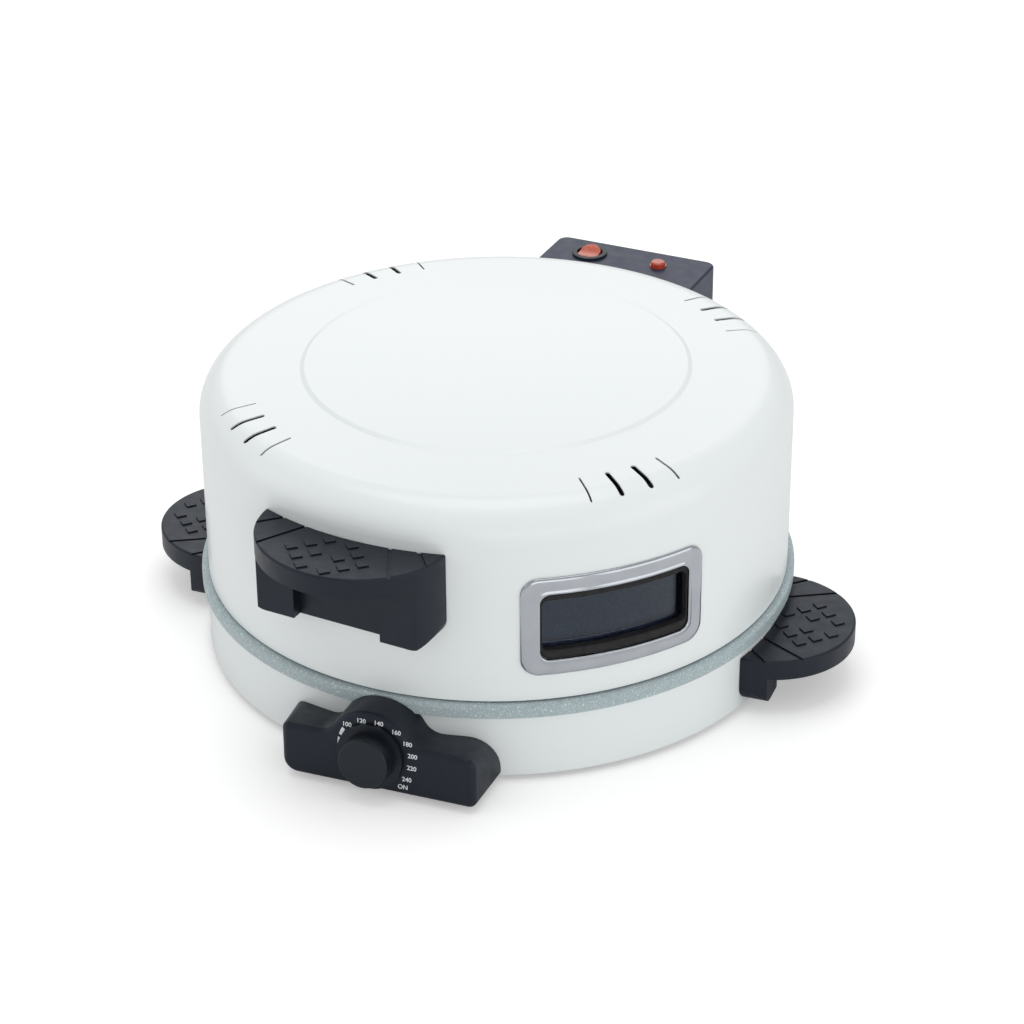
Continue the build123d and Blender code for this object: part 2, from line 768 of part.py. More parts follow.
liner_bottom = lid_bottom + liner_lift
with BuildPart() as lid_liner:
    with BuildSketch(Plane.XZ):
        with BuildLine():
            Polyline(
                (0, liner_top),
                (liner_radius, liner_top),
                (liner_radius, liner_bottom + liner_sheet),
                (lid_inside - seat_gap, liner_bottom + liner_sheet),
                (lid_inside - seat_gap, liner_bottom),
                (liner_radius - liner_sheet, liner_bottom),
                (liner_radius - liner_sheet, liner_top - liner_sheet),
                (0, liner_top - liner_sheet),
                close=True,
            )
        make_face()
        fillet(vertices().group_by(Axis.Y)[-1].sort_by(Axis.X)[-1], liner_corner)
        inner = vertices().filter_by_position(Axis.Y, liner_top - liner_sheet - 0.01, liner_top - 0.01)
        fillet(inner.sort_by(Axis.X)[-1], liner_corner - liner_sheet)
    revolve(axis=Axis.Z)
    window_cut(window_opening_width + 3, window_opening_height + 3, window_opening_corner, 60)
    with Locations(*tail_places):
        Cylinder(element_radius + seat_gap, 40, rotation=(90, 0, 0), mode=Mode.SUBTRACT)
finish(lid_liner.part, "lid_liner")

make_element(turned(180, upper_element_z), upper_element_circle, upper_element_tail, "upper_element")
make_clamps(upper_element_circle, 30, upper_element_z, liner_top - liner_sheet, "upper_element_clamps")

with BuildPart() as element_bushings:
    with Locations(*tail_places):
        Cylinder(element_radius + 3 - snug_gap, 16, rotation=(90, 0, 0))
        Cylinder(element_radius + snug_gap, 60, rotation=(90, 0, 0), mode=Mode.SUBTRACT)
finish(element_bushings.part, "element_bushings")

frame_inner = lid_radius + snug_gap
with BuildPart() as window_frame:
    window_cut(window_width, window_height, window_corner, 60, Mode.ADD)
    add(window_band(frame_inner, frame_inner + window_flange), mode=Mode.INTERSECT)
    with BuildPart(mode=Mode.PRIVATE) as sleeve:
        window_cut(sleeve_width, sleeve_height, sleeve_corner, 60, Mode.ADD)
        add(window_band(lid_radius - 4, frame_inner + window_flange + window_lip), mode=Mode.INTERSECT)
    add(sleeve.part)
    window_cut(window_opening_width, window_opening_height, window_opening_corner, 60)
finish(window_frame.part, "window_frame")

glass_outer = lid_radius - 4 - seat_gap
with BuildPart() as window_pane:
    window_cut(sleeve_width + 2, sleeve_height + 2, sleeve_corner, 60, Mode.ADD)
    add(window_band(glass_outer - window_glass, glass_outer), mode=Mode.INTERSECT)
finish(window_pane.part, "window_glass")

retainer_outer = glass_outer - window_glass - seat_gap
with BuildPart() as window_retainer:
    window_cut(sleeve_width + 10, sleeve_height + 10, sleeve_corner + 4, 60, Mode.ADD)
    add(window_band(liner_radius + seat_gap, retainer_outer), mode=Mode.INTERSECT)
    window_cut(window_opening_width - 1, window_opening_height - 1, window_opening_corner, 60)
finish(window_retainer.part, "window_retainer")

make_grip(
    lid_handle_turn,
    lid_radius + seat_gap,
    lid_handle_half_width,
    lid_handle_depth,
    lid_handle_chord,
    lid_handle_top,
    lid_handle_height,
    lid_handle_leg_reach,
    lid_handle_web_reach,
    lid_handle_pad_reach,
    lid_screws,
    "lid_handle",
)
screws_at(lid_screws, grip_screw_length, "lid_handle_screws")

# Rear housing, switch and lamp

boss_places = [(-52, 248), (52, 248)]


def housing_plan(inset):
    """Plan of the housing, square at the lid and rounded at its two back corners."""
    with Locations((0, housing_back - inset)):
        Rectangle(2 * (housing_half_width - inset), 110, align=(Align.CENTER, Align.MAX))
    fillet(vertices().group_by(Axis.Y)[-1], housing_corner - inset)


with BuildPart() as rear_housing:
    with BuildSketch(Plane.XY.offset(housing_bottom)):
        housing_plan(0)
    extrude(amount=housing_top - housing_bottom)
    fillet(rear_housing.faces().sort_by(Axis.Z)[-1].edges().filter_by_position(Axis.Y, 200, 270), 2)
    with BuildSketch(Plane.XY.offset(housing_bottom)):
        housing_plan(housing_wall)
    extrude(amount=housing_top - housing_bottom - housing_wall, mode=Mode.SUBTRACT)
    boss_bottom = housing_bottom + housing_wall + seat_gap
    with BuildSketch(Plane.XY.offset(boss_bottom)):
        with Locations(*boss_places):
            Circle(4.5)
            Circle(1.6, mode=Mode.SUBTRACT)
    extrude(amount=housing_top - housing_wall - boss_bottom)
    with BuildSketch(Plane.XY.offset(housing_screw_z - 20)):
        with Locations((0, lid_radius)):
            with GridLocations(2 * housing_screw_x + 4, 0, 2, 1):
                Rectangle(20, 60)
        Circle(lid_radius + 4, mode=Mode.INTERSECT)
    extrude(amount=40)
    with BuildSketch(Plane.XZ):
        dome(-seat_gap, 0)
    revolve(axis=Axis.Z, mode=Mode.SUBTRACT)
    with Locations(*housing_screws):
        Cylinder(screw_radius + snug_gap, 30, mode=Mode.SUBTRACT)
    with Locations((*switch_place, housing_top)):
        Cylinder(switch_body_radius + snug_gap, 3 * housing_wall, mode=Mode.SUBTRACT)
    with Locations((*lamp_place, housing_top)):
        Cylinder(lamp_body_radius + snug_gap, 3 * housing_wall, mode=Mode.SUBTRACT)
finish(rear_housing.part, "rear_housing")

with BuildPart() as rear_housing_cover:
    with BuildSketch(Plane.XY.offset(housing_bottom)):
        housing_plan(housing_wall + seat_gap)
        Circle(lid_radius + 2 * seat_gap, mode=Mode.SUBTRACT)
        with Locations((0, hinge_y - 4)):
            Rectangle(
                2 * (lid_knuckle_x + lid_knuckle_width), 60, align=(Align.CENTER, Align.MAX), mode=Mode.SUBTRACT
            )
        with Locations(*boss_places):
            Circle(1.6, mode=Mode.SUBTRACT)
    extrude(amount=housing_wall)
finish(rear_housing_cover.part, "rear_housing_cover")
cover_screw_planes = [
    Plane(origin=(x, y, housing_bottom), z_dir=(0, 0, 1)) for x, y in boss_places
]
with BuildPart() as housing_cover_screws:
    with Locations(*cover_screw_planes):
        Cylinder(3, 1.8, align=(Align.CENTER, Align.CENTER, Align.MAX))
        Cylinder(1.5, 12, align=(Align.CENTER, Align.CENTER, Align.MIN))
finish(housing_cover_screws.part, "housing_cover_screws")
screws_at(housing_screws, 10, "housing_screws")

pivot = (*switch_place, housing_top - 2)
cavity_radius = rocker_radius + 1.1
trunnion_reach = switch_body_radius - 0.3
with BuildPart() as switch_body:
    with Locations((*switch_place, housing_top)):
        Cylinder(switch_body_radius, switch_body_depth, align=(Align.CENTER, Align.CENTER, Align.MAX))
        Cylinder(switch_bezel_radius, switch_bezel, align=(Align.CENTER, Align.CENTER, Align.MIN))
    fillet(switch_body.edges().filter_by(GeomType.CIRCLE).sort_by(Axis.Z)[-1], 0.8)
    with Locations(pivot):
        with Locations((0, 0, -7)):
            Cylinder(cavity_radius, 20, align=(Align.CENTER, Align.CENTER, Align.MIN), mode=Mode.SUBTRACT)
        Cylinder(
            rocker_trunnion_radius + running_gap,
            2 * (trunnion_reach + snug_gap),
            rotation=(0, 90, 0),
            mode=Mode.SUBTRACT,
        )
finish(switch_body.part, "switch_body")

rocker_top = 5.5
rocker_dip = 2.1
tilt = math.radians(rocker_tilt)
rocker_plane = Plane(
    origin=pivot, x_dir=(1, 0, 0), z_dir=(0, -math.sin(tilt), math.cos(tilt))
)
with BuildPart() as switch_rocker:
    with BuildSketch(place(rocker_plane, 0, 0, -4)):
        Circle(rocker_radius)
        Rectangle(2 * rocker_half_width, 4 * rocker_radius, mode=Mode.INTERSECT)
    extrude(amount=4 + rocker_top)
    with BuildSketch(Plane(origin=pivot, x_dir=rocker_plane.y_dir, z_dir=(1, 0, 0))):
        with BuildLine():
            dip = ThreePointArc((-rocker_radius, rocker_top), (0, rocker_top - rocker_dip), (rocker_radius, rocker_top))
            Line(dip @ 0, dip @ 1)
        make_face()
    extrude(amount=2 * rocker_radius, both=True, mode=Mode.SUBTRACT)
    with Locations(rocker_plane):
        Cylinder(rocker_trunnion_radius, 2 * trunnion_reach, rotation=(0, 90, 0))
finish(switch_rocker.part, "switch_rocker")

with BuildPart() as lamp_lens:
    with Locations((*lamp_place, housing_top)):
        Cylinder(lamp_radius, 1.2, align=(Align.CENTER, Align.CENTER, Align.MIN))
        Cylinder(lamp_radius - 0.8, lamp_height, align=(Align.CENTER, Align.CENTER, Align.MIN))
        Cylinder(lamp_body_radius, 7, align=(Align.CENTER, Align.CENTER, Align.MAX))
    fillet(lamp_lens.edges().filter_by(GeomType.CIRCLE).sort_by(Axis.Z)[-1], 1.5)
finish(lamp_lens.part, "lamp_lens")

with BuildPart() as lamp_holder:
    with Locations((*lamp_place, housing_top - housing_wall - snug_gap)):
        Cylinder(lamp_body_radius + 1.4, lamp_body_depth, align=(Align.CENTER, Align.CENTER, Align.MAX))
        with Locations((0, 0, -5)):
            Cylinder(
                lamp_body_radius + snug_gap, 20, align=(Align.CENTER, Align.CENTER, Align.MIN), mode=Mode.SUBTRACT
            )
finish(lamp_holder.part, "lamp_holder")
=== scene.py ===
"""Electric flatbread maker: materials, dial print, window trim, panel moulding, light and camera.

Lengths are in metres and angles in degrees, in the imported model's frame: +Z up and -Y to the front.
"""

import json
import math

import bmesh
import bpy
from mathutils import Matrix, Vector


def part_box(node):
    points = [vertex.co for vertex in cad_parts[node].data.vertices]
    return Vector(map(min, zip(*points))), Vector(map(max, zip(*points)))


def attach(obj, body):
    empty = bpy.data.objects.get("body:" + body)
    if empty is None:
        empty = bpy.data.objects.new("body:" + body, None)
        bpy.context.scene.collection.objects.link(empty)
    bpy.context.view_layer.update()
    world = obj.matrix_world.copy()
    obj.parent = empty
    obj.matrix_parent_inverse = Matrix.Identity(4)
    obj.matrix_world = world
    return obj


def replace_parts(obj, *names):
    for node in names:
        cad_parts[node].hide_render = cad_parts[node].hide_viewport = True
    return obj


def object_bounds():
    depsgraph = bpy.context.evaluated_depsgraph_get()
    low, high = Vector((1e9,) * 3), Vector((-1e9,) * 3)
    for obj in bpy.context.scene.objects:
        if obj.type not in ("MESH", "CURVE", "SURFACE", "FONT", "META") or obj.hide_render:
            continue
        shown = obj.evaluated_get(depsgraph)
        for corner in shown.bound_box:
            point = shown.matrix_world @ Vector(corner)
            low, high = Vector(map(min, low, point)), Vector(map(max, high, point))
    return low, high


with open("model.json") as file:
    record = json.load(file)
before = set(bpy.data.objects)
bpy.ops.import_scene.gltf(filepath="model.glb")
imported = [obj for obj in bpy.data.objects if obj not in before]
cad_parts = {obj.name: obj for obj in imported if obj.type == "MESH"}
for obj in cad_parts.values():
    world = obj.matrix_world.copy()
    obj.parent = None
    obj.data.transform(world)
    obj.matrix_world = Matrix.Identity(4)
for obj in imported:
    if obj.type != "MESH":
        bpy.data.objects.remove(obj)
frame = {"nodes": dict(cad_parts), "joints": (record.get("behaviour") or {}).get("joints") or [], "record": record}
cad_box = [list(corner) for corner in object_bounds()]
scene = bpy.context.scene

UP = Vector((0, 0, 1))
WHITE = (1, 1, 1, 1)

# The photograph's camera. The lens and the sensor are in millimetres
CAMERA_PLACE = (0.8105, -1.7146, 1.1466)
CAMERA_TURN = 25.3
CAMERA_YAW = 0.31
CAMERA_PITCH = -29.13
CAMERA_ROLL = -0.46
CAMERA_LENS = 105.47
SENSOR_WIDTH = 36.0
CAMERA_NEAR = 0.01

# Most values of a noise lie in this band
NOISE_BAND = (0.3, 0.7)

# The dial's place and axes come from the knob's joint, whose axis points into the panel
knob_joint = next(joint for joint in frame["joints"] if joint["name"] == "knob_turn")
dial_centre = Vector(knob_joint["pos_m"])
dial_out = -Vector(knob_joint["axis"]).normalized()
dial_right = UP.cross(dial_out).normalized()
dial_up = dial_out.cross(dial_right)

# Numerals printed round the knob, each with its angle clockwise from the top and its radius
NUMERAL_SIZE = 0.0046
NUMERALS = {
    "100": (-42.3, 0.0263),
    "120": (-17.1, 0.0252),
    "140": (11.8, 0.0252),
    "160": (41.0, 0.0272),
    "180": (62.6, 0.0293),
    "200": (80.4, 0.0303),
    "220": (97.6, 0.0297),
    "240": (116.6, 0.0292),
    "ON": (129.4, 0.0302),
}

# Tapered marks before the first numeral, each with the angles, radii and widths of its two ends
MARKS = {
    "dial_mark_high": ((-64.1, -51), (0.0249, 0.0256), (0.002, 0.0026)),
    "dial_mark_low": ((-82.8, -69.1), (0.0242, 0.0248), (0.0003, 0.0017)),
}
MARK_STEPS = 16

# The middle of the print stands this far off the panel's face, and its underside lies on the face. The font's
# strokes are made this much bolder
PRINT_LIFT = 0.00003
PRINT_BOLDER = 0.00008

# Window trim on the lid's round wall: how far it is turned about the drum's axis from the front, and how high
# its middle is. An outline is its width, height and corner radius. The seal's inside one, whose black is partly
# painted shade for the recess behind the frame, is raised a little
WINDOW_TURN = 47.35
WINDOW_MIDDLE = 0.1188
FRAME_OUTSIDE = (0.1322, 0.0742, 0.0125)
FRAME_INSIDE = (0.1078, 0.05, 0.007)
SEAL_AND_SHADE_OUTSIDE = (0.1072, 0.0494, 0.0067)
SEAL_AND_SHADE_INSIDE = (0.1045, 0.0384, 0.0045)
SEAL_AND_SHADE_INSIDE_RISE = 0.0009
CORNER_STEPS = 10
SIDE_STEPS = 8
lid_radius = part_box("lid_shell")[1].x

# A trim section's points: the share of the way from the inside outline to the outside one, and the height
# over the wall. The frame is crowned near its inner edge, and the seal reaches back through the opening, where its
# black is partly painted shade for the recess behind the frame
FRAME_SECTION = [
    (0, 0.0003), (0, 0.0022), (0.03, 0.0028), (0.08, 0.0031), (0.14, 0.003), (0.2, 0.0026), (0.26, 0.0023),
    (0.4, 0.00245), (0.6, 0.0025), (0.8, 0.0023), (0.92, 0.0019), (0.98, 0.0013), (1, 0.0006), (1, 0.0003),
]
SEAL_AND_SHADE_SECTION = [
    (0, -0.0042), (0, 0.0008), (0.12, 0.0014), (0.3, 0.0016), (0.75, 0.0016), (0.92, 0.0013), (1, 0.0007),
    (1, 0.0003), (0.2, 0.0003), (0.2, -0.0042),
]

# Panel outlines, seen from the front with the foot at height 0: the bar's left and right sides, its top, its
# corner radii at the top left, top right, low left and low right, and the radius of the hump about the dial
PANEL_FRONT = {
    "span": (-0.064, 0.0755),
    "top": 0.0395,
    "corners": (0.005, 0.008, 0.01, 0.006),
    "hump": 0.032,
}
PANEL_BACK = {
    "span": (-0.0735, 0.0765),
    "top": 0.0295,
    "corners": (0.008, 0.024, 0.008, 0.003),
    "hump": 0.0305,
}
PANEL_UNDERSIDE = 0.0005
HUMP_MIDDLE = 0.0278
HUMP_HOLLOW = 0.014
ARC_STEPS = 10
HUMP_STEPS = 30

# The front outline is drawn upright. On the leaning face it is squeezed down and sheared by these, so that it
# looks the same from the photograph's place
FACE_SQUEEZE = 0.943
FACE_SHEAR = -0.04

# How far the dial is up the face from the foot, how far from the drum's axis the back outline is drawn, and
# the radius of the front edges
DIAL_HEIGHT = 0.026
PANEL_BACK_REACH = 0.195
PANEL_EDGE = 0.004
EDGE_STEPS = 6

# The panel's back keeps clear of the base's wall, and from the rim's foot up of the baking plate's rim
WALL_GAP = 0.0003
RIM_GAP = 0.0004
RIM_FOOT = 0.0512
base_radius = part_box("base_shell")[1].x + WALL_GAP
rim_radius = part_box("baking_plate")[1].x + RIM_GAP

# A made mesh joins points that are closer than this, and its edges stay sharp from these angles up
WELD = 0.00002
TRIM_SHARP = 50
PANEL_SHARP = 40

# Floor and sky: the camera sees them brighter than they light the object
FLOOR_REACH = 6
FLOOR_DROP = 0.0002
FLOOR_GLOW = 0.3
SKY_LIGHT = 0.58
SKY_SEEN = 1.0

# Studio lights: place, height of the point on the drum's axis that they face, size, and watts
LIGHTS = {
    "overhead": ((-0.1, 0.1, 2.0), 0.1, (1.4, 1.4), 10.5),
    "back": ((-1.0, 2.0, 1.3), 0.12, (2.2, 1.4), 9),
    "front_left": ((-1.8, -1.2, 0.8), 0.06, (1.8, 1.4), 4.5),
    "front_right": ((1.2, -1.7, 0.45), 0.04, (1.4, 0.7), 3.5),
    "right": ((1.9, -0.3, 0.6), 0.06, (1.6, 1.0), 5),
}


def put(name, data, place):
    """Puts a mesh, a curve or a camera in the scene as an object."""
    obj = bpy.data.objects.new(name, data)
    obj.matrix_world = place
    scene.collection.objects.link(obj)
    return obj


def between(ends, share):
    """The value that lies at that share of the way from the first end to the second."""
    return ends[0] + (ends[1] - ends[0]) * share


def make_camera():
    """The camera looks along its yaw and pitch, rolls about that line, and is turned about the vertical."""
    yaw = math.radians(CAMERA_YAW)
    pitch = math.radians(CAMERA_PITCH)
    roll = math.radians(CAMERA_ROLL)
    forward = Vector((math.sin(yaw) * math.cos(pitch), math.cos(yaw) * math.cos(pitch), math.sin(pitch)))
    level_right = forward.cross(UP).normalized()
    level_up = level_right.cross(forward)
    right = level_right * math.cos(roll) + level_up * math.sin(roll)
    up = level_up * math.cos(roll) - level_right * math.sin(roll)
    turn = Matrix.Rotation(math.radians(CAMERA_TURN), 3, "Z")
    axes = Matrix((turn @ right, turn @ up, turn @ -forward)).transposed()
    data = bpy.data.cameras.new("camera")
    data.lens = CAMERA_LENS
    data.sensor_width = SENSOR_WIDTH
    data.clip_start = CAMERA_NEAR
    scene.camera = put("camera", data, Matrix.Translation(CAMERA_PLACE) @ axes.to_4x4())


# Materials

def srgb(*values):
    """Screen values from 0 to 255 as the linear colour that renders like them."""
    linear = []
    for value in values:
        v = value / 255
        linear.append(v / 12.92 if v <= 0.04045 else ((v + 0.055) / 1.055) ** 2.4)
    return (*linear, 1.0)


class Shader:
    """One principled material whose noises are laid out in the object's own metres."""

    def __init__(self, name, color, roughness, **constants):
        self.material = bpy.data.materials.new(name)
        self.material.use_nodes = True
        self.tree = self.material.node_tree
        self.surface = self.tree.nodes["Principled BSDF"].inputs
        self.surface["Base Color"].default_value = color
        self.surface["Roughness"].default_value = roughness
        for socket, value in constants.items():
            self.surface[socket.replace("_", " ")].default_value = value
        self.color = color
        self.coordinates = self.node("ShaderNodeTexCoord").outputs["Object"]

    def node(self, kind, **settings):
        made = self.tree.nodes.new(kind)
        for name, value in settings.items():
            setattr(made, name, value)
        return made

    def link(self, source, target):
        self.tree.links.new(source, target)

    def squeezed(self, squeeze):
        """The coordinates times a factor for each axis, which draws a texture together along it."""
        mapping = self.node("ShaderNodeMapping")
        mapping.inputs["Scale"].default_value = squeeze
        self.link(self.coordinates, mapping.inputs["Vector"])
        return mapping.outputs["Vector"]

    def noise(self, scale, detail=2, squeeze=None):
        """A noise from 0 to 1 with about scale features to the metre."""
        made = self.node("ShaderNodeTexNoise")
        made.inputs["Scale"].default_value = scale
        made.inputs["Detail"].default_value = detail
        self.link(self.squeezed(squeeze) if squeeze else self.coordinates, made.inputs["Vector"])
        return made.outputs["Fac"]

    def spread(self, value, band, result):
        """Maps the band of a value onto the result's two ends."""
        made = self.node("ShaderNodeMapRange")
        made.inputs["From Min"].default_value, made.inputs["From Max"].default_value = band
        made.inputs["To Min"].default_value, made.inputs["To Max"].default_value = result
        self.link(value, made.inputs["Value"])
        return made.outputs["Result"]

    def tint(self, value, band, share, color):
        """Mixes in another colour, from none of it to that share as the value rises through the band."""
        factor = self.spread(value, band, (0, share))
        mix = self.node("ShaderNodeMix", data_type="RGBA")
        base = self.surface["Base Color"]
        if base.is_linked:
            self.link(base.links[0].from_socket, mix.inputs["A"])
        else:
            mix.inputs["A"].default_value = self.color
        mix.inputs["B"].default_value = color
        self.link(factor, mix.inputs["Factor"])
        self.link(mix.outputs["Result"], base)

    def rough(self, value, low, high):
        """Lets the roughness run from low to high as a noise rises."""
        self.link(self.spread(value, NOISE_BAND, (low, high)), self.surface["Roughness"])

    def bump(self, height, distance, strength):
        """Bumps the surface by up to that distance in metres."""
        made = self.node("ShaderNodeBump")
        made.inputs["Strength"].default_value = strength
        made.inputs["Distance"].default_value = distance
        self.link(height, made.inputs["Height"])
        self.link(made.outputs["Normal"], self.surface["Normal"])


def enamel():
    """Smooth off-white enamel with a faint waviness."""
    made = Shader("off_white_enamel", srgb(238, 243, 243), 0.34, Specular_IOR_Level=0.4, Coat_Weight=0.3,
                  Coat_Roughness=0.14)
    made.tint(made.noise(7), band=(0.4, 0.75), share=0.25, color=srgb(234, 240, 242))
    made.rough(made.noise(12), low=0.33, high=0.35)
    made.bump(made.noise(260, detail=1), distance=0.000004, strength=0.4)
    return made.material


def speckled_coating():
    """Grey-green non-stick coating with fine pale and dark specks and some larger pale ones."""
    made = Shader("speckled_coating", srgb(168, 184, 188), 0.5, Specular_IOR_Level=0.5)
    fine = made.noise(1500)
    made.tint(fine, band=(0.56, 0.64), share=0.8, color=srgb(214, 224, 224))
    made.tint(made.noise(1900), band=(0.6, 0.68), share=0.7, color=srgb(96, 106, 110))
    made.tint(made.noise(620, detail=1), band=(0.64, 0.7), share=0.7, color=srgb(228, 235, 234))
    made.rough(made.noise(900), low=0.38, high=0.62)
    made.bump(fine, distance=0.00008, strength=0.7)
    return made.material


def bright_sheet():
    """Bright aluminised sheet with faint level rolling marks and slightly dulled patches."""
    made = Shader("bright_sheet", srgb(205, 206, 208), 0.3, Metallic=1.0)
    made.rough(made.noise(35, detail=5), low=0.24, high=0.42)
    made.tint(made.noise(14, detail=4), band=(0.45, 0.8), share=0.4, color=srgb(176, 174, 170))
    made.bump(made.noise(240, detail=3, squeeze=(1, 1, 6)), distance=0.00005, strength=0.4)
    return made.material


def plated_steel():
    """Zinc plating with its fine mottle."""
    made = Shader("plated_steel", srgb(190, 190, 192), 0.35, Metallic=1.0)
    made.tint(made.noise(300, detail=4), band=(0.4, 0.75), share=0.6, color=srgb(158, 156, 152))
    made.rough(made.noise(450, detail=3), low=0.28, high=0.46)
    made.bump(made.noise(1400), distance=0.00002, strength=0.5)
    return made.material


def element_sheath():
    """Steel tube dulled and browned by heat."""
    made = Shader("element_sheath", srgb(96, 92, 88), 0.5, Metallic=1.0)
    made.tint(made.noise(45, detail=4), band=(0.45, 0.75), share=0.7, color=srgb(120, 100, 84))
    made.rough(made.noise(600, detail=3), low=0.42, high=0.62)
    made.bump(made.noise(1200), distance=0.00004, strength=0.6)
    return made.material


def moulded(name, color, pale, low, high, grain=0.00004):
    """Moulded plastic with a fine spark-eroded grain and slightly uneven gloss."""
    made = Shader(name, color, low, Specular_IOR_Level=0.42, Specular_Tint=(0.76, 0.86, 1.0, 1.0))
    made.tint(made.noise(40, detail=3), band=(0.4, 0.8), share=0.3, color=pale)
    made.rough(made.noise(120, detail=4), low, high)
    made.bump(made.noise(2600), distance=grain, strength=0.6)
    return made.material


def window_metal():
    """Polished metal with a trace of level brushing."""
    made = Shader("window_metal", srgb(186, 190, 196), 0.16, Metallic=1.0)
    made.tint(made.noise(70, detail=3), band=(0.4, 0.75), share=0.35, color=srgb(166, 170, 177))
    made.rough(made.noise(500, detail=3, squeeze=(1, 1, 12)), low=0.12, high=0.2)
    made.bump(made.noise(900, squeeze=(1, 1, 14)), distance=0.000006, strength=0.4)
    return made.material


def tinted_glass():
    """Clear glass with a light blue tint and the slight haze of a wiped pane."""
    made = Shader("tinted_glass", srgb(192, 206, 236), 0.02, Transmission_Weight=1.0, IOR=1.5,
                  Specular_Tint=(0.82, 0.9, 1.0, 1.0))
    made.rough(made.noise(30, detail=3), low=0.01, high=0.05)
    return made.material


def red_lens():
    """Clear red plastic of the lamp's lens."""
    made = Shader("lamp_red", srgb(214, 66, 40), 0.2, Transmission_Weight=0.35, IOR=1.49, Coat_Weight=0.5,
                  Coat_Roughness=0.05)
    made.tint(made.noise(260), band=(0.4, 0.7), share=0.5, color=srgb(232, 108, 62))
    made.rough(made.noise(500), low=0.14, high=0.26)
    made.bump(made.noise(900), distance=0.00002, strength=0.4)
    return made.material


def red_rocker():
    """Milky red plastic of the rocker, less glossy than the lens."""
    made = Shader("rocker_red", srgb(206, 92, 66), 0.3, Transmission_Weight=0.15, IOR=1.49, Coat_Weight=0.4,
                  Coat_Roughness=0.1)
    made.tint(made.noise(180), band=(0.4, 0.7), share=0.5, color=srgb(222, 124, 92))
    made.rough(made.noise(500), low=0.24, high=0.36)
    made.bump(made.noise(900), distance=0.00002, strength=0.4)
    return made.material


def ceramic():
    """Unglazed white ceramic."""
    made = Shader("white_ceramic", srgb(228, 224, 214), 0.7, Specular_IOR_Level=0.4)
    made.tint(made.noise(160, detail=4), band=(0.45, 0.75), share=0.5, color=srgb(206, 198, 184))
    made.rough(made.noise(300, detail=3), low=0.6, high=0.8)
    made.bump(made.noise(1800, detail=3), distance=0.00005, strength=0.7)
    return made.material


def rubber():
    """Matt black rubber of the feet and of the window's seal, where its black is partly painted shade for the
    recess behind the frame.
    """
    made = Shader("foot_rubber", srgb(34, 34, 35), 0.75, Specular_IOR_Level=0.3)
    made.tint(made.noise(200, detail=4), band=(0.45, 0.75), share=0.5, color=srgb(52, 52, 52))
    made.rough(made.noise(400, detail=3), low=0.65, high=0.85)
    made.bump(made.noise(1500, detail=3), distance=0.00006, strength=0.7)
    return made.material


def printed_white():
    """White ink of the dial's print, a little uneven."""
    made = Shader("printed_white", srgb(236, 238, 240), 0.5)
    made.tint(made.noise(2500), band=(0.5, 0.8), share=0.4, color=srgb(206, 208, 212))
    made.rough(made.noise(1500), low=0.42, high=0.6)
    made.bump(made.noise(4000), distance=0.00001, strength=0.5)
    return made.material


def pale_floor():
    """Nearly white and matt, with a glow that only the camera sees."""
    made = Shader("pale_floor", srgb(246, 246, 246), 0.9, Specular_IOR_Level=0.1, Emission_Color=WHITE)
    glow = made.node("ShaderNodeMath", operation="MULTIPLY")
    glow.inputs[1].default_value = FLOOR_GLOW
    made.link(made.node("ShaderNodeLightPath").outputs["Is Camera Ray"], glow.inputs[0])
    made.link(glow.outputs[0], made.surface["Emission Strength"])
    return made.material


# The dial's print

def dial_point(angle, radius):
    """A point in the dial's plane, with its angle clockwise from the top."""
    a = math.radians(angle)
    return radius * math.sin(a), radius * math.cos(a)


def print_piece(name, mesh, place):
    """White print on the panel's face. Its mesh and its place are in the dial's plane."""
    dial_axes = Matrix((dial_right, dial_up, dial_out)).transposed().to_4x4()
    obj = put(name, mesh, Matrix.Translation(dial_centre + dial_out * PRINT_LIFT) @ dial_axes @ place)
    mesh.materials.clear()
    mesh.materials.append(white_print)
    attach(obj, "base")


def numeral(text, angle, radius):
    """An upright number whose middle is at that angle and radius."""
    name = "numeral_" + text
    curve = bpy.data.curves.new(name, "FONT")
    curve.body = text
    curve.size = NUMERAL_SIZE
    curve.align_x = "CENTER"
    curve.align_y = "CENTER"
    curve.extrude = PRINT_LIFT
    curve.offset = PRINT_BOLDER
    lettering = put(name, curve, Matrix())
    mesh = bpy.data.meshes.new_from_object(lettering)
    bpy.data.objects.remove(lettering)
    print_piece(name, mesh, Matrix.Translation((*dial_point(angle, radius), 0)))


def dial_mark(name, angles, radii, widths):
    """A flat arc about the dial that tapers from its first end to its second."""
    inner, outer = [], []
    for step in range(MARK_STEPS + 1):
        share = step / MARK_STEPS
        angle = between(angles, share)
        middle = between(radii, share)
        half_width = between(widths, share) / 2
        inner.append(dial_point(angle, middle - half_width))
        outer.append(dial_point(angle, middle + half_width))
    count = MARK_STEPS + 1
    vertices = [(x, y, z) for z in (-PRINT_LIFT, PRINT_LIFT) for x, y in inner + outer]
    faces = []
    for step in range(MARK_STEPS):
        low = (step, step + 1, count + step + 1, count + step)
        high = tuple(v + 2 * count for v in reversed(low))
        faces += [low, high]
    rim = list(range(count)) + list(range(2 * count - 1, count - 1, -1))
    for here, there in zip(rim, rim[1:] + rim[:1]):
        faces.append((there, here, here + 2 * count, there + 2 * count))
    mesh = bpy.data.meshes.new(name)
    mesh.from_pydata(vertices, [], faces)
    print_piece(name, mesh, Matrix())


# The window's trim and the control panel

def loop_faces(loops, count, closed):
    """Faces between each closed loop of points and the next, and where closed from the last to the first."""
    faces = []
    for loop in range(loops if closed else loops - 1):
        low, high = loop * count, (loop + 1) % loops * count
        for here in range(count):
            there = (here + 1) % count
            faces.append((low + here, low + there, high + there, high + here))
    return faces


